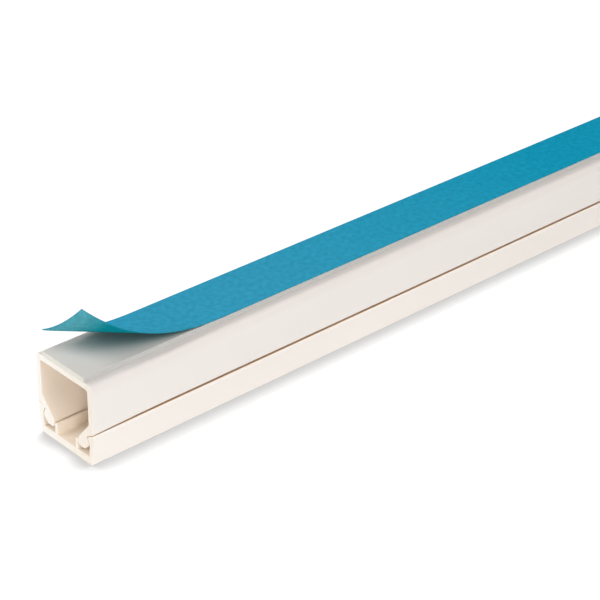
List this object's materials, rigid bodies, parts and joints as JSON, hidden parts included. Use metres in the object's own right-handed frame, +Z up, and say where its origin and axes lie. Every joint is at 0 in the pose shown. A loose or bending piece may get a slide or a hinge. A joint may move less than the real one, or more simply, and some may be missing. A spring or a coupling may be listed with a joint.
{
  "type": "cord cover raceway",
  "caption": "Stick of square snap-together cord raceway lying on its cover: hooked base channel, press-on cover, and foam tape on its back under a release liner peeled up at one end.",
  "frame": {"origin": "on the floor, under the middle of the cover's outer face", "axes": "+X along the stick, away from the end where the liner is peeled up; +Z up, out of the adhesive back; +Y across the stick"},
  "size_m": [0.4, 0.0162, 0.0283],
  "materials": {
    "base_pvc": "satin warm white PVC",
    "cover_pvc": "satin warm white PVC",
    "foam_tape": "pale grey foam with a tacky face",
    "liner_film": "blue release film"
  },
  "bodies": {
    "root": {"cover": "cover_pvc", "base_channel": "base_pvc", "adhesive_tape": "foam_tape", "release_liner": "liner_film"}
  },
  "joints": []
}
